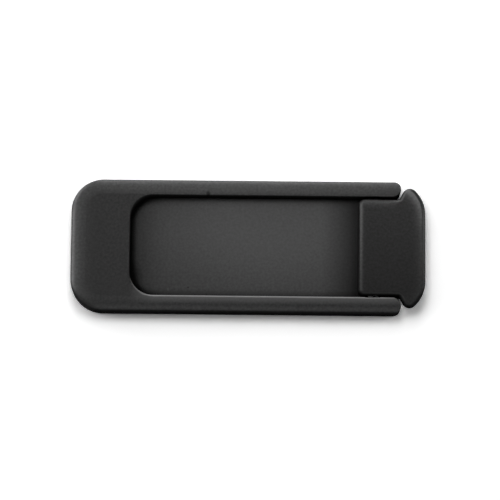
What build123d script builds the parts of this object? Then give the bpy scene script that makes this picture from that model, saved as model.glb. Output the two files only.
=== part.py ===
from build123d import *
import os
from math import cos, radians, sin, tan

# Sliding webcam cover, shown closed. Millimetres, +Z away from the screen it sticks to, +X the way the
# slider is drawn out. The origin is under the middle of the closed cover, on the adhesive face.

# Frame: a U with a closed bridge at -X and two round-ended arms
frame_length = 40.5
frame_width = 16.4
frame_height = 2.8
corner_radius = 4.0
arm_inner_radius = 1.05
arm_end_flat = 0.05
bridge_width = 7.25
arm_width = 2.0
window_corner_radius = 2.9
crown_margin = 0.15
crown_drop = 0.6
rim_radius = 0.25
base_chamfer = 0.15
trim_margin = 0.5

# Adhesive tape under the frame
tape_thickness = 0.2
tape_inset = 0.25

# Slide channel: grooves in the arms, and a pocket in the bridge for the plate's tail
travel = 12.0
lip_thickness = 0.4
rail_reach = 0.7
rail_side_clearance = 0.1
plate_clearance = 0.05
tail_overlap = 3.6
tail_clearance = 0.4
tail_corner_radius = 1.0

# Stop tooth near the end of each groove, with a ramp that lets the rails snap in
tooth_setback = 1.4
tooth_length = 0.9
tooth_flat = 0.2
tooth_reach = 0.45
stop_clearance = 0.05

# Slider: a thin plate with a grip block whose ears close the open end of the frame
plate_thickness = 0.6
rail_past_grip_face = 1.5
grip_overhang = 3.0
grip_length = 8.2
grip_side_gap = 0.2
grip_ground_clearance = 0.25
grip_edge_radius = 0.45
grip_corner_margin = 0.2
ear_thickness = 1.4
ear_gap = 0.27
ear_flank_angle = 62.0
ear_tip_margin = 0.5
ear_root_radius = 0.35
nail_lip = 1.4
nail_edge_radius = 0.25

# Hollow under the grip, with a middle rib
core_wall = 0.9
core_roof = 1.2
core_rib = 0.9
core_corner_radius = 0.4

# Pair of click ribs on each flank of the grip, and the shallow notch in the arm beside them
click_setback = 1.75
click_rib_radius = 0.35
click_rib_reach = 0.15
click_rib_pitch = 0.75
click_rib_height = 0.8
click_rib_drop = 0.75
click_notch_depth = 0.1
click_notch_margin = 0.2

# Places along X
closed_length = frame_length + grip_overhang
left_end = -closed_length / 2
grip_end = closed_length / 2
arm_tip = left_end + frame_length
arm_run_on = arm_tip + arm_width
window_left = left_end + bridge_width
tail_end = window_left - tail_overlap
pocket_end = tail_end - tail_clearance
grip_face = grip_end - grip_length
rail_front = grip_face + rail_past_grip_face
stem_end = grip_end - nail_lip
tooth_end = arm_tip - tooth_setback
tooth_face = tooth_end - tooth_length
shoulder = tooth_face - travel - stop_clearance
click_center = grip_face + click_setback

# Half widths across Y
half_width = frame_width / 2
window_half = half_width - arm_width
rail_half = window_half + rail_reach
groove_half = rail_half + rail_side_clearance
tooth_half = groove_half - tooth_reach
slim_rail_half = tooth_half - rail_side_clearance
grip_half = window_half - grip_side_gap

# Radii in plan that leave room for the rounded top edges
arm_outer_radius = arm_width - arm_inner_radius - arm_end_flat
crown_width = arm_width - crown_margin
grip_corner_radius = grip_edge_radius + grip_corner_margin
ear_tip_radius = grip_edge_radius + ear_tip_margin

# Heights
frame_base = tape_thickness
frame_top = frame_base + frame_height
groove_base = frame_base + lip_thickness
plate_base = groove_base + plate_clearance
plate_top = plate_base + plate_thickness
groove_top = plate_top + plate_clearance
ear_base = frame_top - ear_thickness
core_top = frame_top - core_roof
click_top = frame_top - click_rib_drop
click_base = click_top - click_rib_height


def span(x_from, x_to, half):
    """Rectangle from one x to another, centred on the X axis."""
    return Pos((x_from + x_to) / 2, 0) * Rectangle(x_to - x_from, 2 * half)


def left_rounded(x_from, x_to, half, radius):
    """The same rectangle with its two -X corners rounded."""
    sketch = span(x_from, x_to, half)
    return fillet(sketch.vertices().group_by(Axis.X)[0], radius)


def prism(sketch, z_from, z_to):
    return extrude(Pos(0, 0, z_from) * sketch, amount=z_to - z_from, dir=(0, 0, 1))


def near(sketch, x, y):
    """The vertex of a sketch nearest to a point."""
    return sketch.vertices().sort_by(lambda v: (v.X - x) ** 2 + (v.Y - y) ** 2)[0]


def frame_outline():
    """Plan of the frame: bridge and arms, each arm's end rounded more on its outer corner."""
    block = left_rounded(left_end, arm_tip, half_width, corner_radius)
    block = fillet(block.vertices().group_by(Axis.X)[-1], arm_outer_radius)
    outline = block - left_rounded(window_left, arm_run_on, window_half, window_corner_radius)
    inner_corners = [near(outline, arm_tip, side * window_half) for side in (1, -1)]
    return fillet(inner_corners, arm_inner_radius)


def crown_trim():
    """What the soft outer edge takes off: the corner outside a quarter ellipse, carried round the bridge.

    The route runs straight on past the ends of the arms."""
    corner = Rectangle(crown_width + trim_margin, crown_drop + trim_margin, align=(Align.MIN, Align.MIN))
    corner -= Ellipse(crown_width, crown_drop)
    middle = (arm_run_on, half_width - crown_width, frame_top - crown_drop)
    route = FilletPolyline(
        (arm_run_on, half_width),
        (left_end, half_width),
        (left_end, -half_width),
        (arm_run_on, -half_width),
        radius=corner_radius,
    )
    section = Plane(origin=middle, x_dir=(0, 1, 0), z_dir=(1, 0, 0)) * corner
    return sweep(section, path=Pos(0, 0, frame_top) * route)


def stop_tooth():
    """Tooth standing in from the +Y groove's outer wall: square to the shoulder, ramped to the open end."""
    wall = groove_half + rail_side_clearance
    outline = Polygon(
        (tooth_face, wall),
        (tooth_face, tooth_half),
        (tooth_face + tooth_flat, tooth_half),
        (tooth_end, wall),
        align=None,
    )
    return prism(outline, groove_base - plate_clearance, groove_top + plate_clearance)


def click_notch(side):
    """Shallow flat notch in the arm's inner wall, as long as the pair of click ribs."""
    length = click_rib_pitch + 2 * (click_rib_radius + click_notch_margin)
    notch = Pos(click_center, side * window_half) * Rectangle(length, 2 * click_notch_depth)
    return prism(notch, groove_top, frame_top)


def make_frame():
    body = prism(frame_outline(), frame_base, frame_top)
    body = fillet(body.faces().sort_by(Axis.Z)[-1].edges(), rim_radius)
    body -= crown_trim()
    body = chamfer(body.faces().sort_by(Axis.Z)[0].edges(), base_chamfer)
    channel = left_rounded(pocket_end, arm_run_on, groove_half, tail_corner_radius)
    body -= prism(channel, groove_base, groove_top)
    tooth = stop_tooth()
    body += tooth + mirror(tooth, about=Plane.XZ)
    for side in (1, -1):
        body -= click_notch(side)
    return body


def make_plate():
    """Flat plate: full-width rails from the tail to the stop shoulders, slimmer rails past the teeth."""
    outline = left_rounded(tail_end, shoulder, rail_half, tail_corner_radius)
    outline += span(shoulder, rail_front, slim_rail_half)
    outline += span(rail_front, grip_face + grip_length / 2, grip_half)
    return prism(outline, plate_base, plate_top)


def grip_outline():
    """Plan of the grip: a block between the arms, and ears that follow the frame's rounded outline."""
    angle = radians(ear_flank_angle)
    reach = arm_inner_radius + ear_gap
    flank_x = arm_tip - arm_inner_radius + reach * sin(angle)
    flank_y = window_half + arm_inner_radius - reach * cos(angle)
    root_x = flank_x - (flank_y - grip_half) / tan(angle)
    crown_x = flank_x + (half_width - flank_y) / tan(angle)
    ears = Polygon(
        (root_x, -grip_half),
        (crown_x, -half_width),
        (grip_end, -half_width),
        (grip_end, half_width),
        (crown_x, half_width),
        (root_x, grip_half),
        align=None,
    )
    outline = ears & RectangleRounded(closed_length, frame_width, corner_radius)
    outline += span(grip_face, root_x, grip_half)
    for side in (1, -1):
        tip = outline.vertices().sort_by(lambda v: side * v.Y)[-1]
        outline = fillet(tip, ear_tip_radius)
        outline = fillet(near(outline, root_x, side * grip_half), ear_root_radius)
        outline = fillet(near(outline, grip_face, side * grip_half), grip_corner_radius)
    return outline


def rounded_under_edge():
    """Block on the closed outline, rounded underneath where a fingernail pulls the grip."""
    outline = RectangleRounded(closed_length, frame_width, corner_radius)
    block = prism(outline, ear_base, frame_top)
    return fillet(block.faces().sort_by(Axis.Z)[0].edges(), nail_edge_radius)


def make_grip():
    """Eared head over a stem that stands between the arms."""
    head = prism(grip_outline(), ear_base, frame_top)
    head = fillet(head.faces().sort_by(Axis.Z)[-1].edges(), grip_edge_radius)
    head = head & rounded_under_edge()
    stem_plan = span(grip_face, stem_end, grip_half)
    stem_plan = fillet(stem_plan.vertices(), grip_corner_radius)
    return head + prism(stem_plan, grip_ground_clearance, ear_base)


def grip_core():
    """Hollow under the grip, in two pockets beside the middle rib."""
    core = span(grip_face + core_wall, stem_end - core_wall, grip_half - core_wall)
    core -= span(grip_face, stem_end, core_rib / 2)
    core = fillet(core.vertices(), core_corner_radius)
    return prism(core, grip_ground_clearance, core_top)


def click_ribs(side):
    """Two small half-round upright ribs that click past the arm's notch."""
    rib_y = side * (grip_half + click_rib_reach - click_rib_radius)
    ribs = Sketch()
    for step in (-0.5, 0.5):
        ribs += Pos(click_center + step * click_rib_pitch, rib_y) * Circle(click_rib_radius)
    return prism(ribs, click_base, click_top)


def make_slider():
    body = make_grip() + make_plate()
    for side in (1, -1):
        body += click_ribs(side)
    return body - grip_core()


def make_tape():
    """One die-cut U of double-sided tape, set in a little from the frame's edges."""
    return prism(offset(frame_outline(), amount=-tape_inset), 0, tape_thickness)


os.makedirs("parts", exist_ok=True)
for name, solid in (("frame", make_frame()), ("slider", make_slider()), ("adhesive_tape", make_tape())):
    export_step(solid, f"parts/{name}.step")
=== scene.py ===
import math
import bpy
import numpy as np
from mathutils import Matrix, Vector


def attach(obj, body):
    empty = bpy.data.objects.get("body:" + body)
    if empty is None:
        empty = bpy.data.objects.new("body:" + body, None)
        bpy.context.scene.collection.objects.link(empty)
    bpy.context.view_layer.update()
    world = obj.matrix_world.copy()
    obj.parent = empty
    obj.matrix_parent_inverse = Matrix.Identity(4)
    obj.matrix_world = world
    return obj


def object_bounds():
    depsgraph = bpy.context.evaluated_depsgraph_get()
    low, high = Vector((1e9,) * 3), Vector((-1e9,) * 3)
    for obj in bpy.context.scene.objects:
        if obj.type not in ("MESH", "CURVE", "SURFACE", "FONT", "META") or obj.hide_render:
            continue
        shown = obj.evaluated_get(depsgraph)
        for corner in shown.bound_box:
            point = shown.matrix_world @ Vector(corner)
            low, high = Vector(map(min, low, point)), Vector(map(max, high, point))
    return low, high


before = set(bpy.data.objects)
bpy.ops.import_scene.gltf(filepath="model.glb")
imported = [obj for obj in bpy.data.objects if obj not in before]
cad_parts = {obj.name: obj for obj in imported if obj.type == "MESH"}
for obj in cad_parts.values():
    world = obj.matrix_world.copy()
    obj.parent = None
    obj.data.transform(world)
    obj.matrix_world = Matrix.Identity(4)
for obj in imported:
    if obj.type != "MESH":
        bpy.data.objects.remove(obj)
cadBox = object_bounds()
mm = 0.001
print("frame loaded:", ", ".join(sorted(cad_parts)))


# small helpers for objects and node trees

nodeLayout = {"inRow": 8, "stepX": 220, "stepY": 340}


def addObject(name, data):
    obj = bpy.data.objects.new(name, data)
    bpy.context.scene.collection.objects.link(obj)
    return obj


def putNode(tree, kind, **settings):
    # each new node stands to the right of the last one, in rows
    row, column = divmod(len(tree.nodes), nodeLayout["inRow"])
    node = tree.nodes.new(kind)
    node.location = (column * nodeLayout["stepX"], -row * nodeLayout["stepY"])
    for name, value in settings.items():
        setattr(node, name, value)
    return node


def feed(tree, socket, value):
    # a socket takes either a plain value or a link
    if isinstance(value, bpy.types.NodeSocket):
        tree.links.new(value, socket)
    else:
        socket.default_value = value


def feedAll(tree, node, values):
    for socket, value in zip(node.inputs, values):
        feed(tree, socket, value)


def mathNode(tree, operation, *values):
    node = putNode(tree, "ShaderNodeMath", operation=operation)
    feedAll(tree, node, values)
    return node.outputs[0]


def chainNodes(tree, operation, first, *others):
    # one product, sum or maximum of any number of values
    for other in others:
        first = mathNode(tree, operation, first, other)
    return first


def vectorNode(tree, operation, *values):
    node = putNode(tree, "ShaderNodeVectorMath", operation=operation)
    feedAll(tree, node, values)
    return node.outputs["Vector"]


def lengthNode(tree, vector):
    node = putNode(tree, "ShaderNodeVectorMath", operation="LENGTH")
    feed(tree, node.inputs[0], vector)
    return node.outputs["Value"]


def planLength(tree, vector):
    # length of a vector's X and Y parts
    return lengthNode(tree, vectorNode(tree, "MULTIPLY", vector, (1.0, 1.0, 0.0)))


def splitNode(tree, vector):
    node = putNode(tree, "ShaderNodeSeparateXYZ")
    feed(tree, node.inputs[0], vector)
    return node.outputs


def objectCoords(tree):
    return putNode(tree, "ShaderNodeTexCoord").outputs["Object"]


def rangeNode(tree, value, fromLow, fromHigh, toLow=0.0, toHigh=1.0, curve="LINEAR"):
    node = putNode(tree, "ShaderNodeMapRange", clamp=True, interpolation_type=curve)
    feedAll(tree, node, (value, fromLow, fromHigh, toLow, toHigh))
    return node.outputs["Result"]


def mixValues(tree, share, first, second):
    return rangeNode(tree, share, 0.0, 1.0, first, second)


def mixColors(tree, share, first, second):
    node = putNode(tree, "ShaderNodeMix", data_type="RGBA")
    feed(tree, node.inputs[0], share)
    feed(tree, node.inputs[6], first)        # 6 and 7 are the two colours
    feed(tree, node.inputs[7], second)
    return node.outputs[2]


def mixShaders(tree, share, first, second):
    node = putNode(tree, "ShaderNodeMixShader")
    feedAll(tree, node, (share, first, second))
    return node.outputs[0]


def noiseNode(tree, vector, scale, detail):
    node = putNode(tree, "ShaderNodeTexNoise")
    feed(tree, node.inputs["Vector"], vector)
    feed(tree, node.inputs["Scale"], scale)
    feed(tree, node.inputs["Detail"], detail)
    return node.outputs["Fac"]


def bumpNode(tree, height, strength, distance, **settings):
    node = putNode(tree, "ShaderNodeBump", **settings)
    feed(tree, node.inputs["Height"], height)
    feed(tree, node.inputs["Strength"], strength)
    feed(tree, node.inputs["Distance"], distance)
    return node


def newGroup(name, inputKind, inputs, outputs):
    tree = bpy.data.node_groups.new(name, "ShaderNodeTree")
    for label in inputs:
        tree.interface.new_socket(label, in_out="INPUT", socket_type=inputKind)
    for label in outputs:
        tree.interface.new_socket(label, in_out="OUTPUT", socket_type="NodeSocketFloat")
    return tree, putNode(tree, "NodeGroupInput").outputs, putNode(tree, "NodeGroupOutput").inputs


def emptyMaterial(name):
    material = bpy.data.materials.new(name)
    material.use_nodes = True
    tree = material.node_tree
    tree.nodes.clear()
    return material, tree, putNode(tree, "ShaderNodeOutputMaterial").inputs["Surface"]


def newMaterial(name):
    material, tree, surface = emptyMaterial(name)
    shader = putNode(tree, "ShaderNodeBsdfPrincipled")
    feed(tree, surface, shader.outputs["BSDF"])
    return material, tree, shader


def gray(level):
    return (level, level, level, 1.0)


# spark-eroded mould grain, shared by the plastic finishes: fine pits, coarser specks and slow clouds

grain = {
    "pitSize": 0.11 * mm,
    "pitDetail": 2.0,
    "speckScale": 0.37,                      # share of the pits' scale, so the specks are coarser
    "speckDetail": 3.0,
    "cloudSize": 2.4 * mm,
    "cloudDetail": 2.0,
    "spread": (0.3, 0.7),                    # the part of the noise that becomes 0 to 1
}


def makeMouldGrain():
    tree, given, out = newGroup(
        "mouldGrain",
        "NodeSocketFloat",
        ("Pits per Metre", "Clouds per Metre"),
        ("Height", "Specks", "Clouds"),
    )
    coords = objectCoords(tree)
    pits = noiseNode(tree, coords, given["Pits per Metre"], grain["pitDetail"])
    coarser = mathNode(tree, "MULTIPLY", given["Pits per Metre"], grain["speckScale"])
    specks = noiseNode(tree, coords, coarser, grain["speckDetail"])
    clouds = noiseNode(tree, coords, given["Clouds per Metre"], grain["cloudDetail"])
    feed(tree, out["Height"], pits)
    feed(tree, out["Specks"], rangeNode(tree, specks, *grain["spread"]))
    feed(tree, out["Clouds"], rangeNode(tree, clouds, *grain["spread"]))
    return tree


mouldGrain = makeMouldGrain()


def grainNode(tree):
    node = putNode(tree, "ShaderNodeGroup", node_tree=mouldGrain)
    node.inputs["Pits per Metre"].default_value = 1 / grain["pitSize"]
    node.inputs["Clouds per Metre"].default_value = 1 / grain["cloudSize"]
    return node.outputs


# one soft spot: whole near its middle, falling to 0 at its reach along each axis, all in millimetres

spotFade = (0.2, 1.0)                        # shares of the reach between which it falls


def makeSoftSpot():
    tree, given, out = newGroup("softSpot", "NodeSocketVector", ("Middle", "Reach"), ("Mask",))
    away = vectorNode(tree, "SUBTRACT", objectCoords(tree), given["Middle"])
    share = lengthNode(tree, vectorNode(tree, "DIVIDE", away, given["Reach"]))
    feed(tree, out["Mask"], rangeNode(tree, share, *spotFade, 1.0, 0.0, "SMOOTHSTEP"))
    return tree


softSpot = makeSoftSpot()


def spotMask(tree, spot):
    node = putNode(tree, "ShaderNodeGroup", node_tree=softSpot)
    node.inputs["Middle"].default_value = [v * mm for v in spot["middle"]]
    node.inputs["Reach"].default_value = [v * mm for v in spot["reach"]]
    return mathNode(tree, "MULTIPLY", node.outputs["Mask"], spot["share"])


print("grain and spot groups made")


# black moulded finish: dull on the flats, rubbed to a satin along the soft top edges, with painted shade
# darkening its colour in corners

moulding = {
    "roughness": (0.72, 0.84),               # from the glossiest clouds to the dullest
    "specular": 0.0,
    "bump": 0.30,
    "bumpHeight": 0.006 * mm,
    "cornerShadeColor": 0.003,
    "cornerReach": 1.2 * mm,
    "cornerSamples": 8,
    "cornerOpen": (0.52, 0.97),              # how open a place is, from the darkest painted corner shade to none
    "cornerShadeShare": 0.85,
    "rubbedTilt": (0.0, 0.50),               # sine of the tilt as the rubbed edge comes in
    "rubbedCoat": (0.105, 1.0),              # coat on the flats, and where the edge turns over
    "nearEnd": (0.72, 0.97),                 # upward part of the normal as the rubbing ends, on the near side
    "farEnd": (0.05, 0.60),                  # and on the other sides, where the walls keep some of it
    "wallCoat": 0.25,
    "nearTurn": (-0.35, -0.05),              # Y part of the normal, from the near side to the others
    "speckCoat": (0.84, 1.16),               # how the specks weaken and strengthen the coat
    "coatRoughness": 0.38,
    "coatIor": 1.7,
}


def speckedColor(tree, specks, finish):
    return mixColors(tree, specks, gray(finish["color"]), gray(finish["speckColor"]))


def edgeCoat(tree, normal, turned):
    # grows with the tilt of the surface, and ends where the edge has turned down into a wall
    rubbed = rangeNode(tree, planLength(tree, normal), *moulding["rubbedTilt"], *moulding["rubbedCoat"])
    nearEnd = rangeNode(tree, turned["Z"], *moulding["nearEnd"])
    farEnd = rangeNode(tree, turned["Z"], *moulding["farEnd"], moulding["wallCoat"], 1.0)
    away = rangeNode(tree, turned["Y"], *moulding["nearTurn"])
    return mathNode(tree, "MULTIPLY", rubbed, mixValues(tree, away, nearEnd, farEnd))


def mouldingNodes(tree, shader, finish, normal):
    # sets the bump and the plain values, and gives the sockets that the frame and the grip work on
    texture = grainNode(tree)
    turned = splitNode(tree, normal)
    speckled = mixValues(tree, texture["Specks"], *moulding["speckCoat"])
    bump = bumpNode(tree, texture["Height"], moulding["bump"], moulding["bumpHeight"])
    feed(tree, bump.inputs["Normal"], normal)
    feed(tree, shader.inputs["Normal"], bump.outputs["Normal"])
    shader.inputs["Specular IOR Level"].default_value = moulding["specular"]
    shader.inputs["Coat Roughness"].default_value = moulding["coatRoughness"]
    shader.inputs["Coat IOR"].default_value = moulding["coatIor"]
    return {
        "color": speckedColor(tree, texture["Specks"], finish),
        "roughness": mixValues(tree, texture["Clouds"], *moulding["roughness"]),
        "coat": chainNodes(tree, "MULTIPLY", edgeCoat(tree, normal, turned), speckled, finish["coatShare"]),
        "place": splitNode(tree, objectCoords(tree)),
        "turned": turned,
        "specks": texture["Specks"],
    }


def openness(tree):
    # 1 in the open, lower where other surfaces stand close around
    around = putNode(tree, "ShaderNodeAmbientOcclusion", samples=moulding["cornerSamples"])
    around.inputs["Distance"].default_value = moulding["cornerReach"]
    return around.outputs["AO"]


# painted shade: the colour goes towards black where the ambient occlusion finds surfaces close around
def paintCornerShade(tree, color):
    share = rangeNode(tree, openness(tree), *moulding["cornerOpen"], moulding["cornerShadeShare"], 0.0)
    return mixColors(tree, share, color, gray(moulding["cornerShadeColor"]))


# the frame has a dull smudge on the far arm beside the window, and a painted highlight on the near lip of the
# window, fainter on the flat beside it

frameFinish = {"color": 0.017, "speckColor": 0.024, "coatShare": 1.0}
smudge = {"middle": (-4.95, 6.45, 2.95), "reach": (0.36, 0.50, 0.8), "share": 0.7, "color": 0.004}
lipHighlight = {
    "color": 0.17,
    "facing": (0.20, 0.55),                  # how far the surface turns to the window
    "base": (2.70 * mm, 2.78 * mm),          # heights between which the painted highlight comes in
    "endX": (16.0 * mm, 17.9 * mm),
    "fadeHighlightColor": 0.085,                      # the fainter painted highlight on the flat beside the lip
    "fadeY": (-7.30 * mm, -6.15 * mm),
    "fadeX": (-14.5 * mm, -11.5 * mm),
}
windowRim = {
    "outward": (-2.0 * mm, 0.0),             # X part of the normal times the place along X
    "coatShare": 0.35,                       # left where the bridge turns down to the window
}
bridgeRub = {
    "x": (-20.4 * mm, -18.4 * mm),           # the rubbing dies away on the flat of the bridge
    "coat": 0.05,
}


# painted highlight: a light colour on the near arm's rim where it turns to the window, and fainter painted
# light on the flat beside it
def paintLipHighlight(tree, color, place, turned):
    nearSide = mathNode(tree, "LESS_THAN", place["Y"], 0.0)
    top = mathNode(tree, "MULTIPLY", nearSide, rangeNode(tree, place["Z"], *lipHighlight["base"]))
    across = rangeNode(tree, place["Y"], *lipHighlight["fadeY"])
    along = rangeNode(tree, place["X"], *lipHighlight["fadeX"])
    beside = chainNodes(tree, "MULTIPLY", across, along, top)
    color = mixColors(tree, beside, color, gray(lipHighlight["fadeHighlightColor"]))
    facing = rangeNode(tree, turned["Y"], *lipHighlight["facing"])
    beforeEnd = rangeNode(tree, place["X"], *lipHighlight["endX"], 1.0, 0.0)
    lip = chainNodes(tree, "MULTIPLY", facing, top, beforeEnd)
    return mixColors(tree, lip, color, gray(lipHighlight["color"]))


def frameCoat(tree, coat, place, turned):
    outward = mathNode(tree, "MULTIPLY", turned["X"], place["X"])
    rim = rangeNode(tree, outward, *windowRim["outward"], windowRim["coatShare"], 1.0)
    rub = rangeNode(tree, place["X"], *bridgeRub["x"], bridgeRub["coat"], 0.0, "SMOOTHSTEP")
    return mathNode(tree, "ADD", mathNode(tree, "MULTIPLY", coat, rim), rub)


def makeFrameFinish():
    material, tree, shader = newMaterial("frameFinish")
    normal = putNode(tree, "ShaderNodeNewGeometry").outputs["Normal"]
    base = mouldingNodes(tree, shader, frameFinish, normal)
    smudged = spotMask(tree, smudge)
    color = mixColors(tree, smudged, base["color"], gray(smudge["color"]))
    color = paintLipHighlight(tree, color, base["place"], base["turned"])
    coat = frameCoat(tree, base["coat"], base["place"], base["turned"])
    feed(tree, shader.inputs["Base Color"], paintCornerShade(tree, color))
    feed(tree, shader.inputs["Roughness"], base["roughness"])
    feed(tree, shader.inputs["Coat Weight"], mixValues(tree, smudged, coat, 0.0))
    return material


# the slider's plate is lighter than its grip, polished in its middle, with painted shade at both ends

plateFinish = {
    "color": 0.037,
    "speckColor": 0.048,
    "roughness": 0.80,
    "zoneTop": (1.27 * mm, 1.36 * mm),       # heights between which the plate's finish ends
    "polish": {"middle": (3.0, 3.5, 1.25), "reach": (23.0, 13.0, 3.0), "share": 1.0},
    "polishCoat": (0.02, 0.20),
    # painted shade: the plate's colour darkens towards the left wall, towards the grip, under the bridge and
    # in a spot by the left wall
    "shadeColor": 0.004,
    "shadeLeft": (-14.4 * mm, -9.5 * mm, 0.60),     # from, to, and the root of how much there is at the wall
    "shadeRight": (12.9 * mm, 9.0 * mm, 0.62),      # from, to, and how much there is at the grip
    "shadeTail": (-15.8 * mm, -14.3 * mm, 0.90),    # the tail that stays under the bridge
    "shadeSpot": {"middle": (-14.8, -4.2, 1.25), "reach": (2.6, 4.6, 1.0), "share": 0.9},
    "footOpen": (0.70, 0.82),                # how open the foot of the left wall is, from black painted shadow to none
    "footX": (-13.0 * mm, -10.5 * mm),
    "footShadowColor": 0.0005,
}
plateMarks = {
    "scuff": {"middle": (-9.78, -5.24, 1.25), "reach": (0.10, 0.34, 0.4), "share": 0.5, "color": 0.085},
    "speck": {"middle": (-7.32, -4.98, 1.25), "reach": (0.11, 0.11, 0.4), "share": 1.0, "color": 0.004},
}


# painted shade on the plate, from the left wall, the grip, the tail under the bridge and one spot
def plateShade(tree, along):
    left = rangeNode(tree, along, *plateFinish["shadeLeft"], 0.0)
    right = rangeNode(tree, along, *plateFinish["shadeRight"], 0.0)
    tail = rangeNode(tree, along, *plateFinish["shadeTail"], 0.0)
    spot = spotMask(tree, plateFinish["shadeSpot"])
    return chainNodes(tree, "MAXIMUM", mathNode(tree, "MULTIPLY", left, left), right, spot, tail)


# painted shadow: the plate's colour goes black at the foot of the window's left wall, where the ambient
# occlusion finds the wall
def plateFootShadow(tree, along):
    atWall = rangeNode(tree, openness(tree), *plateFinish["footOpen"], 1.0, 0.0)
    atLeft = rangeNode(tree, along, *plateFinish["footX"], 1.0, 0.0)
    return mathNode(tree, "MULTIPLY", atWall, atLeft)


def plateColor(tree, specks, shade, footShadow):
    color = speckedColor(tree, specks, plateFinish)
    color = mixColors(tree, shade, color, gray(plateFinish["shadeColor"]))
    for mark in plateMarks.values():
        color = mixColors(tree, spotMask(tree, mark), color, gray(mark["color"]))
    return mixColors(tree, footShadow, color, gray(plateFinish["footShadowColor"]))


def plateCoat(tree, shade, footShadow):
    polish = mixValues(tree, spotMask(tree, plateFinish["polish"]), *plateFinish["polishCoat"])
    polish = mixValues(tree, shade, polish, 0.0)
    return mixValues(tree, footShadow, polish, 0.0)


# the grip's top falls off softly towards the cover's outline and, less, towards the window and the far arm

crown = {
    "cornerRadius": 4.0 * mm,
    "power": 4.0,                            # of the fall, whose slope dies away with one power less
    "edge": 0.14 * mm,                       # inside this the moulded edge takes over
    "edgeBlend": 0.14 * mm,
    "reach": 2.2 * mm,
    "slope": 1.0,                            # at the outline of the far ear
    "endShare": 0.24,                        # how much of it the pulled end and the near ear have
    "endY": (2.0 * mm, 6.5 * mm),
    "faceX": 13.55 * mm,
    "faceReach": 1.1 * mm,
    "faceSlope": 0.5,
    "flankY": 6.0 * mm,
    "flankReach": 1.6 * mm,
    "flankSlope": 0.32,
    "flankEndX": (17.4 * mm, 18.6 * mm),     # the flank ends at the ear
}
gripFinish = {
    "color": 0.013,
    "speckColor": 0.018,
    "coatShare": 0.72,
    "handledY": (-8.0 * mm, 8.0 * mm),       # handled more towards the far ear and the pulled end
    "handledCoatY": (0.40, 1.80),
    "handledX": (14.0 * mm, 21.0 * mm),
    "handledCoatX": (0.90, 1.20),
    "endTurn": (0.18, 0.45),                 # duller where the pulled end turns over
    "endCoat": 0.50,
    "faceTurn": (-0.50, -0.15),              # and where it turns down to the window
    "faceCoat": 0.60,
    "flankTurn": (0.15, 0.45),               # and beside the far arm
    "flankCoat": 0.45,
}


def outlineInset(tree, coords):
    # distance in from the cover's outline in plan, a rounded rectangle
    radius = crown["cornerRadius"]
    straight = (cadBox[1][0] - radius, cadBox[1][1] - radius, 0.0)
    past = vectorNode(tree, "SUBTRACT", vectorNode(tree, "ABSOLUTE", coords), straight)
    past = vectorNode(tree, "MAXIMUM", past, (0.0, 0.0, 0.0))
    return mathNode(tree, "SUBTRACT", radius, planLength(tree, past))


def fallOff(tree, inset, reach, slope):
    # depth of the fall: a power of the share of the reach that lies inwards, so that the slope is greatest
    # at the edge and dies away to nothing at the reach
    inset = mathNode(tree, "SMOOTH_MAX", inset, crown["edge"], crown["edgeBlend"])
    share = mathNode(tree, "POWER", rangeNode(tree, inset, 0.0, reach, 1.0, 0.0), crown["power"])
    return mathNode(tree, "MULTIPLY", share, slope * reach / crown["power"])


def crownNormal(tree):
    coords = objectCoords(tree)
    place = splitNode(tree, coords)
    outlineFall = fallOff(tree, outlineInset(tree, coords), crown["reach"], crown["slope"])
    farEar = rangeNode(tree, place["Y"], *crown["endY"], crown["endShare"], 1.0)
    outlineFall = mathNode(tree, "MULTIPLY", outlineFall, farEar)
    inFromFace = mathNode(tree, "SUBTRACT", place["X"], crown["faceX"])
    faceFall = fallOff(tree, inFromFace, crown["faceReach"], crown["faceSlope"])
    inFromFlank = mathNode(tree, "SUBTRACT", crown["flankY"], place["Y"])
    flankFall = fallOff(tree, inFromFlank, crown["flankReach"], crown["flankSlope"])
    beforeEar = rangeNode(tree, place["X"], *crown["flankEndX"], 1.0, 0.0, "SMOOTHSTEP")
    flankFall = mathNode(tree, "MULTIPLY", flankFall, beforeEar)
    fall = chainNodes(tree, "ADD", outlineFall, faceFall, flankFall)
    onTop = mathNode(tree, "GREATER_THAN", place["Z"], plateFinish["zoneTop"][1])
    fall = mathNode(tree, "MULTIPLY", fall, onTop)
    return bumpNode(tree, fall, strength=1.0, distance=1.0, invert=True).outputs["Normal"]


def gripCoat(tree, coat, place, turned):
    across = rangeNode(tree, place["Y"], *gripFinish["handledY"], *gripFinish["handledCoatY"])
    along = rangeNode(tree, place["X"], *gripFinish["handledX"], *gripFinish["handledCoatX"])
    end = rangeNode(tree, turned["X"], *gripFinish["endTurn"], 1.0, gripFinish["endCoat"])
    face = rangeNode(tree, turned["X"], *gripFinish["faceTurn"], gripFinish["faceCoat"], 1.0)
    beforeEar = rangeNode(tree, place["X"], *crown["flankEndX"], gripFinish["flankCoat"], 1.0)
    flank = rangeNode(tree, turned["Y"], *gripFinish["flankTurn"], 1.0, beforeEar)
    return chainNodes(tree, "MULTIPLY", coat, across, along, end, face, flank)


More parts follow.
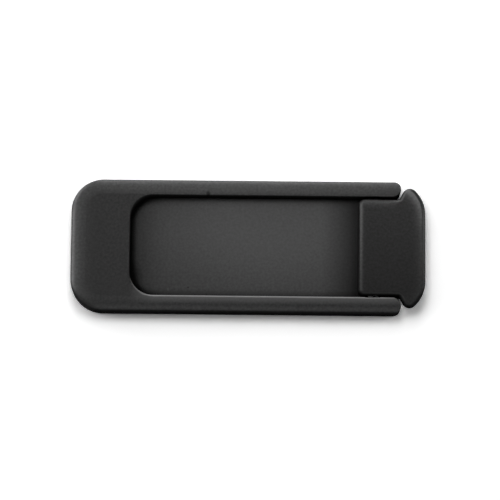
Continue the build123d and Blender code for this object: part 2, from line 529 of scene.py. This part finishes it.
def makeSliderFinish():
    material, tree, shader = newMaterial("sliderFinish")
    grip = mouldingNodes(tree, shader, gripFinish, crownNormal(tree))
    place = grip["place"]
    onPlate = rangeNode(tree, place["Z"], *plateFinish["zoneTop"], 1.0, 0.0)
    shade = plateShade(tree, place["X"])
    footShadow = plateFootShadow(tree, place["X"])
    color = mixColors(tree, onPlate, grip["color"], plateColor(tree, grip["specks"], shade, footShadow))
    rough = mixValues(tree, onPlate, grip["roughness"], plateFinish["roughness"])
    coat = gripCoat(tree, grip["coat"], place, grip["turned"])
    feed(tree, shader.inputs["Base Color"], paintCornerShade(tree, color))
    feed(tree, shader.inputs["Roughness"], rough)
    feed(tree, shader.inputs["Coat Weight"], mixValues(tree, onPlate, coat, plateCoat(tree, shade, footShadow)))
    return material


# closed-cell foam of the tape: round cells, a little lighter at their walls

foam = {
    "wallColor": 0.050,
    "cellColor": 0.022,
    "cellSize": 0.12 * mm,
    "wallFrom": (0.15, 0.6),                 # distances from a cell's middle, in cells, as its wall comes in
    "roughness": 0.9,
    "bump": 0.5,
    "bumpHeight": 0.02 * mm,
}


def makeTapeFoam():
    material, tree, shader = newMaterial("tapeFoam")
    cells = putNode(tree, "ShaderNodeTexVoronoi")
    feed(tree, cells.inputs["Vector"], objectCoords(tree))
    cells.inputs["Scale"].default_value = 1 / foam["cellSize"]
    wall = rangeNode(tree, cells.outputs["Distance"], *foam["wallFrom"])
    color = mixColors(tree, wall, gray(foam["cellColor"]), gray(foam["wallColor"]))
    bump = bumpNode(tree, wall, foam["bump"], foam["bumpHeight"])
    feed(tree, shader.inputs["Base Color"], color)
    feed(tree, shader.inputs["Normal"], bump.outputs["Normal"])
    shader.inputs["Roughness"].default_value = foam["roughness"]
    return material


def dressNode(node, material):
    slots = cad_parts[node].data.materials
    slots.clear()
    slots.append(material)


dressNode("frame", makeFrameFinish())
dressNode("slider", makeSliderFinish())
dressNode("adhesive_tape", makeTapeFoam())
print("materials set")


# ragged flash on the click ribs of the near flank, in millimetres

flash = {
    "fromX": 14.66,
    "toX": 16.04,
    "hollowX": 15.45,                        # where the left lobe ends and the right one starts
    "innerY": -5.96,
    "outerY": -6.10,
    "archPower": 3,                          # the higher, the flatter the top of the left lobe
    "middleZ": 2.42,
    "sink": 0.04,                            # how much lower the right lobe's end is
    "radius": 0.045,
    "stretch": 4.2,                          # height of the fin over its thickness
    "endPower": 6,                           # the higher, the blunter its two ends
    "ragged": 0.30,
    # each wave's radians along the fin, times it goes round it, and start
    "waves": ((31.0, 1.0, 0.0), (67.0, -2.0, 1.3), (113.0, 3.0, 0.7)),
    # painted light: the fin is coloured far lighter than the black plastic it is moulded from, so that it
    # shows as lit in the dark gap
    "color": 0.09,
    "speckColor": 0.13,
    "roughness": (0.55, 0.70),
    "around": 16,
    "along": 160,
}


# painted light in the fin's colour; its roughness is the plastic's own
def makeFlashPaintedLight():
    material, tree, shader = newMaterial("flashPaintedLight")
    texture = grainNode(tree)
    feed(tree, shader.inputs["Base Color"], speckedColor(tree, texture["Specks"], flash))
    feed(tree, shader.inputs["Roughness"], mixValues(tree, texture["Clouds"], *flash["roughness"]))
    return material


def flashPoints():
    # A thin upright fin carried along a path over the rib tops. The left lobe's path runs out to outerY and
    # back on a flat-topped arch, the right lobe's slants out from the hollow. The fin falls to nothing at
    # both ends and is made uneven by sine waves along it, each turned a little round it.
    share = np.linspace(0.0, 1.0, flash["along"])
    angle = np.linspace(0.0, 2.0 * np.pi, flash["around"], endpoint=False)
    x = flash["fromX"] + (flash["toX"] - flash["fromX"]) * share
    arch = np.clip((x - flash["fromX"]) / (flash["hollowX"] - flash["fromX"]), 0.0, 1.0)
    left = 1.0 - np.abs(2.0 * arch - 1.0) ** flash["archPower"]
    slant = np.clip((x - flash["hollowX"]) / (flash["toX"] - flash["hollowX"]), 0.0, 1.0)
    y = flash["innerY"] + (flash["outerY"] - flash["innerY"]) * np.where(x < flash["hollowX"], left, slant)
    z = flash["middleZ"] - flash["sink"] * slant
    waves = [
        np.sin(along * share[:, None] + around * angle + start)
        for along, around, start in flash["waves"]
    ]
    taper = (1.0 - np.abs(2.0 * share - 1.0) ** flash["endPower"])[:, None]
    radius = flash["radius"] * taper * (1.0 + flash["ragged"] * sum(waves) / len(waves))
    return np.stack([
        np.broadcast_to(x[:, None], radius.shape),
        y[:, None] + radius * np.cos(angle),
        z[:, None] + flash["stretch"] * radius * np.sin(angle),
    ], axis=-1)


def finFaces(rings, turns):
    # quads from ring to ring, and a fan of triangles to each end point, the two points after the last ring
    row, turn = np.meshgrid(np.arange(rings - 1), np.arange(turns), indexing="ij")
    here = row * turns
    onward = (turn + 1) % turns
    quads = np.stack([here + turns + turn, here + turns + onward, here + onward, here + turn], axis=-1)
    ring = np.arange(turns)
    after = (ring + 1) % turns
    last = (rings - 1) * turns
    startTip = np.full(turns, rings * turns)
    startCap = np.stack([ring, after, startTip], axis=-1)
    endCap = np.stack([last + after, last + ring, startTip + 1], axis=-1)
    return quads.reshape(-1, 4).tolist() + startCap.tolist() + endCap.tolist()


def makeFlash():
    points = flashPoints()
    rings = points[1:-1]
    corners = np.vstack([rings.reshape(-1, 3), points[0, :1], points[-1, :1]]) * mm
    mesh = bpy.data.meshes.new("clickFlash")
    mesh.from_pydata(corners.tolist(), [], finFaces(*rings.shape[:2]))
    mesh.polygons.foreach_set("use_smooth", np.ones(len(mesh.polygons), dtype=bool))
    mesh.materials.append(makeFlashPaintedLight())
    piece = addObject("click_flash", mesh)
    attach(piece, "shutter")


makeFlash()
print("click flash made")


# white table

table = {
    "half": 4000 * mm,
    "drop": 0.01 * mm,
    "seenColor": 1.45,                       # to the camera, and in what the part mirrors
    "bounceColor": 0.35,                     # to every other ray
    "plain": (45 * mm, 80 * mm),             # distances between which it turns into an even white
}


def makeTableWhite():
    material, tree, surface = emptyMaterial("tableWhite")
    seen = putNode(tree, "ShaderNodeBsdfDiffuse")
    seen.inputs["Color"].default_value = gray(table["seenColor"])
    bounce = putNode(tree, "ShaderNodeBsdfDiffuse")
    bounce.inputs["Color"].default_value = gray(table["bounceColor"])
    plain = putNode(tree, "ShaderNodeEmission")
    far = rangeNode(tree, planLength(tree, objectCoords(tree)), *table["plain"])
    shown = mixShaders(tree, far, seen.outputs[0], plain.outputs[0])
    ray = putNode(tree, "ShaderNodeLightPath").outputs
    isShown = chainNodes(
        tree, "MAXIMUM", ray["Is Camera Ray"], ray["Is Glossy Ray"], ray["Is Transmission Ray"]
    )
    feed(tree, surface, mixShaders(tree, isShown, bounce.outputs[0], shown))
    return material


def makeTable():
    half = table["half"]
    z = cadBox[0][2] - table["drop"]
    corners = [(-half, -half, z), (half, -half, z), (half, half, z), (-half, half, z)]
    mesh = bpy.data.meshes.new("table")
    mesh.from_pydata(corners, [], [(0, 1, 2, 3)])
    mesh.materials.append(makeTableWhite())
    top = addObject("table", mesh)


makeTable()


# soft studio light: azimuth from +X towards +Y, elevation above the table, distance and size in metres

lamps = {
    "backTop": {"azimuth": 90, "elevation": 75, "distance": 0.13, "size": 0.06, "watts": 0.049},
    "backMiddle": {"azimuth": 95, "elevation": 45, "distance": 0.37, "size": 0.20, "watts": 0.20},
    "backLow": {"azimuth": 92, "elevation": 18, "distance": 0.36, "size": 0.18, "watts": 0.22},
    "backLeftLow": {"azimuth": 140, "elevation": 18, "distance": 0.36, "size": 0.18, "watts": 0.26},
    "left": {"azimuth": 172, "elevation": 32, "distance": 0.38, "size": 0.20, "watts": 0.36},
    "leftHigh": {"azimuth": 160, "elevation": 64, "distance": 0.38, "size": 0.20, "watts": 0.17},
    "right": {"azimuth": 5, "elevation": 34, "distance": 0.125, "size": 0.06, "watts": 0.028},
    "front": {"azimuth": 268, "elevation": 53, "distance": 0.37, "size": 0.20, "watts": 0.11},
}
worldLevel = 0.0


def makeLamp(name, lamp):
    light = bpy.data.lights.new(name, "AREA")
    light.shape = "DISK"
    light.size = lamp["size"]
    light.energy = lamp["watts"]
    obj = addObject(name, light)
    turn = math.radians(lamp["azimuth"])
    rise = math.radians(lamp["elevation"])
    way = Vector((math.cos(turn) * math.cos(rise), math.sin(turn) * math.cos(rise), math.sin(rise)))
    obj.location = way * lamp["distance"]
    obj.rotation_euler = way.to_track_quat("Z", "Y").to_euler()
    obj.visible_camera = False


for lampName, lampValues in lamps.items():
    makeLamp(lampName, lampValues)

world = bpy.data.worlds.new("studio")
world.use_nodes = True
world.node_tree.nodes["Background"].inputs["Color"].default_value = gray(worldLevel)
bpy.context.scene.world = world
print("table and lamps set")


# camera, nearly overhead from the near side

camera = {
    "aim": (0.24 * mm, -0.37 * mm, 2.0 * mm),
    "distance": 400 * mm,
    "elevation": 80.0,
    "roll": 0.58,
    "lens": 234.5,
    "sensor": 36.0,
    "clipStart": 10 * mm,
}


def makeCamera():
    rise = math.radians(camera["elevation"])
    roll = math.radians(camera["roll"])
    back = Vector((0.0, -math.cos(rise), math.sin(rise)))
    right = Vector((1.0, 0.0, 0.0))
    up = back.cross(right)
    turnedRight = right * math.cos(roll) + up * math.sin(roll)
    turnedUp = up * math.cos(roll) - right * math.sin(roll)
    data = bpy.data.cameras.new("camera")
    data.lens = camera["lens"]
    data.sensor_width = camera["sensor"]
    data.clip_start = camera["clipStart"]
    obj = addObject("camera", data)
    turn = Matrix((turnedRight, turnedUp, back)).transposed()
    obj.matrix_world = Matrix.Translation(Vector(camera["aim"]) + back * camera["distance"]) @ turn.to_4x4()
    bpy.context.scene.camera = obj


makeCamera()
bpy.context.scene.view_settings.view_transform = "Standard"
print("camera set")
